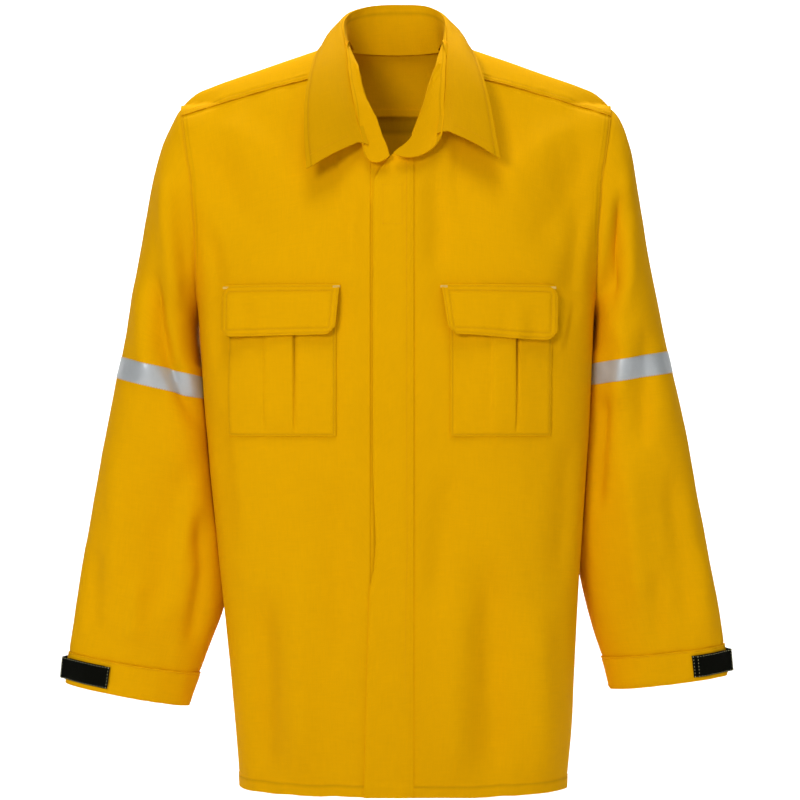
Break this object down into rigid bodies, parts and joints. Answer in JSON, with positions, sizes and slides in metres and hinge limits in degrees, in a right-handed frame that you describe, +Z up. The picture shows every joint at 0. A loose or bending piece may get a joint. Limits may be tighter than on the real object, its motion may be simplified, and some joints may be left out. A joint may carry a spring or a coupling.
{
  "type": "firefighting coat",
  "caption": "Light shirt-cut turnout coat for wildland fires: fold-down collar, hook-and-loop front, flapped chest pockets, reflective sleeve bands and cuff tabs.",
  "frame": {"origin": "middle of the line on which the coat's shoulders rest on a hanger or a wearer, at the height of the sides of the neck", "axes": "+Z up, -Y the front, +X the wearer's left"},
  "size_m": [0.7956, 0.2311, 0.92],
  "materials": {
    "yellow_cloth": "matt woven cloth, slightly hairy",
    "collar_cloth": "matt woven cloth, stiffened",
    "yellow_hook_and_loop": "hook-and-loop pile",
    "black_hook_and_loop": "hook-and-loop pile",
    "reflective_tape": "retroreflective, satin"
  },
  "bodies": {
    "coat": {"back_panel": "yellow_cloth", "back_yoke": "yellow_cloth", "left_front_upper": "yellow_cloth", "right_front_upper": "yellow_cloth", "collar_stand": "collar_cloth", "collar_leaf": "collar_cloth"},
    "left_front": {"left_front": "yellow_cloth", "front_placket": "yellow_cloth", "closure_hook_1": "yellow_hook_and_loop", "closure_hook_2": "yellow_hook_and_loop", "closure_hook_3": "yellow_hook_and_loop", "closure_hook_4": "yellow_hook_and_loop", "closure_hook_5": "yellow_hook_and_loop", "left_pocket": "yellow_cloth", "left_pocket_loop": "yellow_hook_and_loop"},
    "right_front": {"right_front": "yellow_cloth", "right_front_facing": "yellow_cloth", "closure_loop_1": "yellow_hook_and_loop", "closure_loop_2": "yellow_hook_and_loop", "closure_loop_3": "yellow_hook_and_loop", "closure_loop_4": "yellow_hook_and_loop", "closure_loop_5": "yellow_hook_and_loop", "right_pocket": "yellow_cloth", "right_pocket_loop": "yellow_hook_and_loop"},
    "left_flap": {"left_pocket_flap": "yellow_cloth", "left_flap_hook": "yellow_hook_and_loop"},
    "left_sleeve": {"left_sleeve_upper": "yellow_cloth", "left_reflective_tape": "reflective_tape"},
    "left_forearm": {"left_sleeve_lower": "yellow_cloth", "left_cuff": "yellow_cloth", "left_cuff_loop_pad": "black_hook_and_loop", "left_cuff_tab_base": "black_hook_and_loop"},
    "left_tab": {"left_cuff_tab": "black_hook_and_loop"},
    "right_flap": {"right_pocket_flap": "yellow_cloth", "right_flap_hook": "yellow_hook_and_loop"},
    "right_sleeve": {"right_sleeve_upper": "yellow_cloth", "right_reflective_tape": "reflective_tape"},
    "right_forearm": {"right_sleeve_lower": "yellow_cloth", "right_cuff": "yellow_cloth", "right_cuff_loop_pad": "black_hook_and_loop", "right_cuff_tab_base": "black_hook_and_loop"},
    "right_tab": {"right_cuff_tab": "black_hook_and_loop"}
  },
  "joints": [
    {"name": "left_front_open", "type": "hinge", "parent": "coat", "child": "left_front", "pos_m": [0.213, -0.0615, -0.15], "axis": [0.0388, -0.0158, 0.9991], "range_deg": [0, 45]},
    {"name": "right_front_open", "type": "hinge", "parent": "coat", "child": "right_front", "pos_m": [-0.213, -0.0615, -0.15], "axis": [0.0388, 0.0158, -0.9991], "range_deg": [0, 27]},
    {"name": "left_flap_lift", "type": "hinge", "parent": "left_front", "child": "left_flap", "pos_m": [0.1245, -0.114, -0.268], "axis": [-0.9737, -0.2279, 0], "range_deg": [0, 120]},
    {"name": "right_flap_lift", "type": "hinge", "parent": "right_front", "child": "right_flap", "pos_m": [-0.1245, -0.114, -0.268], "axis": [-0.9737, 0.2279, 0], "range_deg": [0, 120]},
    {"name": "left_shoulder", "type": "hinge", "parent": "coat", "child": "left_sleeve", "pos_m": [0.24, 0.004, -0.066], "axis": [0, -1, 0], "range_deg": [0, 40]},
    {"name": "left_elbow", "type": "hinge", "parent": "left_sleeve", "child": "left_forearm", "pos_m": [0.283, -0.008, -0.4535], "axis": [-0.8829, -0.4695, 0], "range_deg": [0, 60]},
    {"name": "left_tab_peel", "type": "hinge", "parent": "left_forearm", "child": "left_tab", "pos_m": [0.394, -0.003, -0.7115], "axis": [-0.12, 0, 0.9928], "range_deg": [0, 110]},
    {"name": "right_shoulder", "type": "hinge", "parent": "coat", "child": "right_sleeve", "pos_m": [-0.24, 0.004, -0.066], "axis": [0, 1, 0], "range_deg": [0, 40]},
    {"name": "right_elbow", "type": "hinge", "parent": "right_sleeve", "child": "right_forearm", "pos_m": [-0.283, -0.008, -0.4535], "axis": [-0.8829, 0.4695, 0], "range_deg": [0, 60]},
    {"name": "right_tab_peel", "type": "hinge", "parent": "right_forearm", "child": "right_tab", "pos_m": [-0.394, -0.003, -0.7115], "axis": [-0.12, 0, -0.9928], "range_deg": [0, 110]}
  ],
  "couplings": [
    {"joint": "right_front_open", "follows": "left_front_open", "ratio": 0.6}
  ]
}
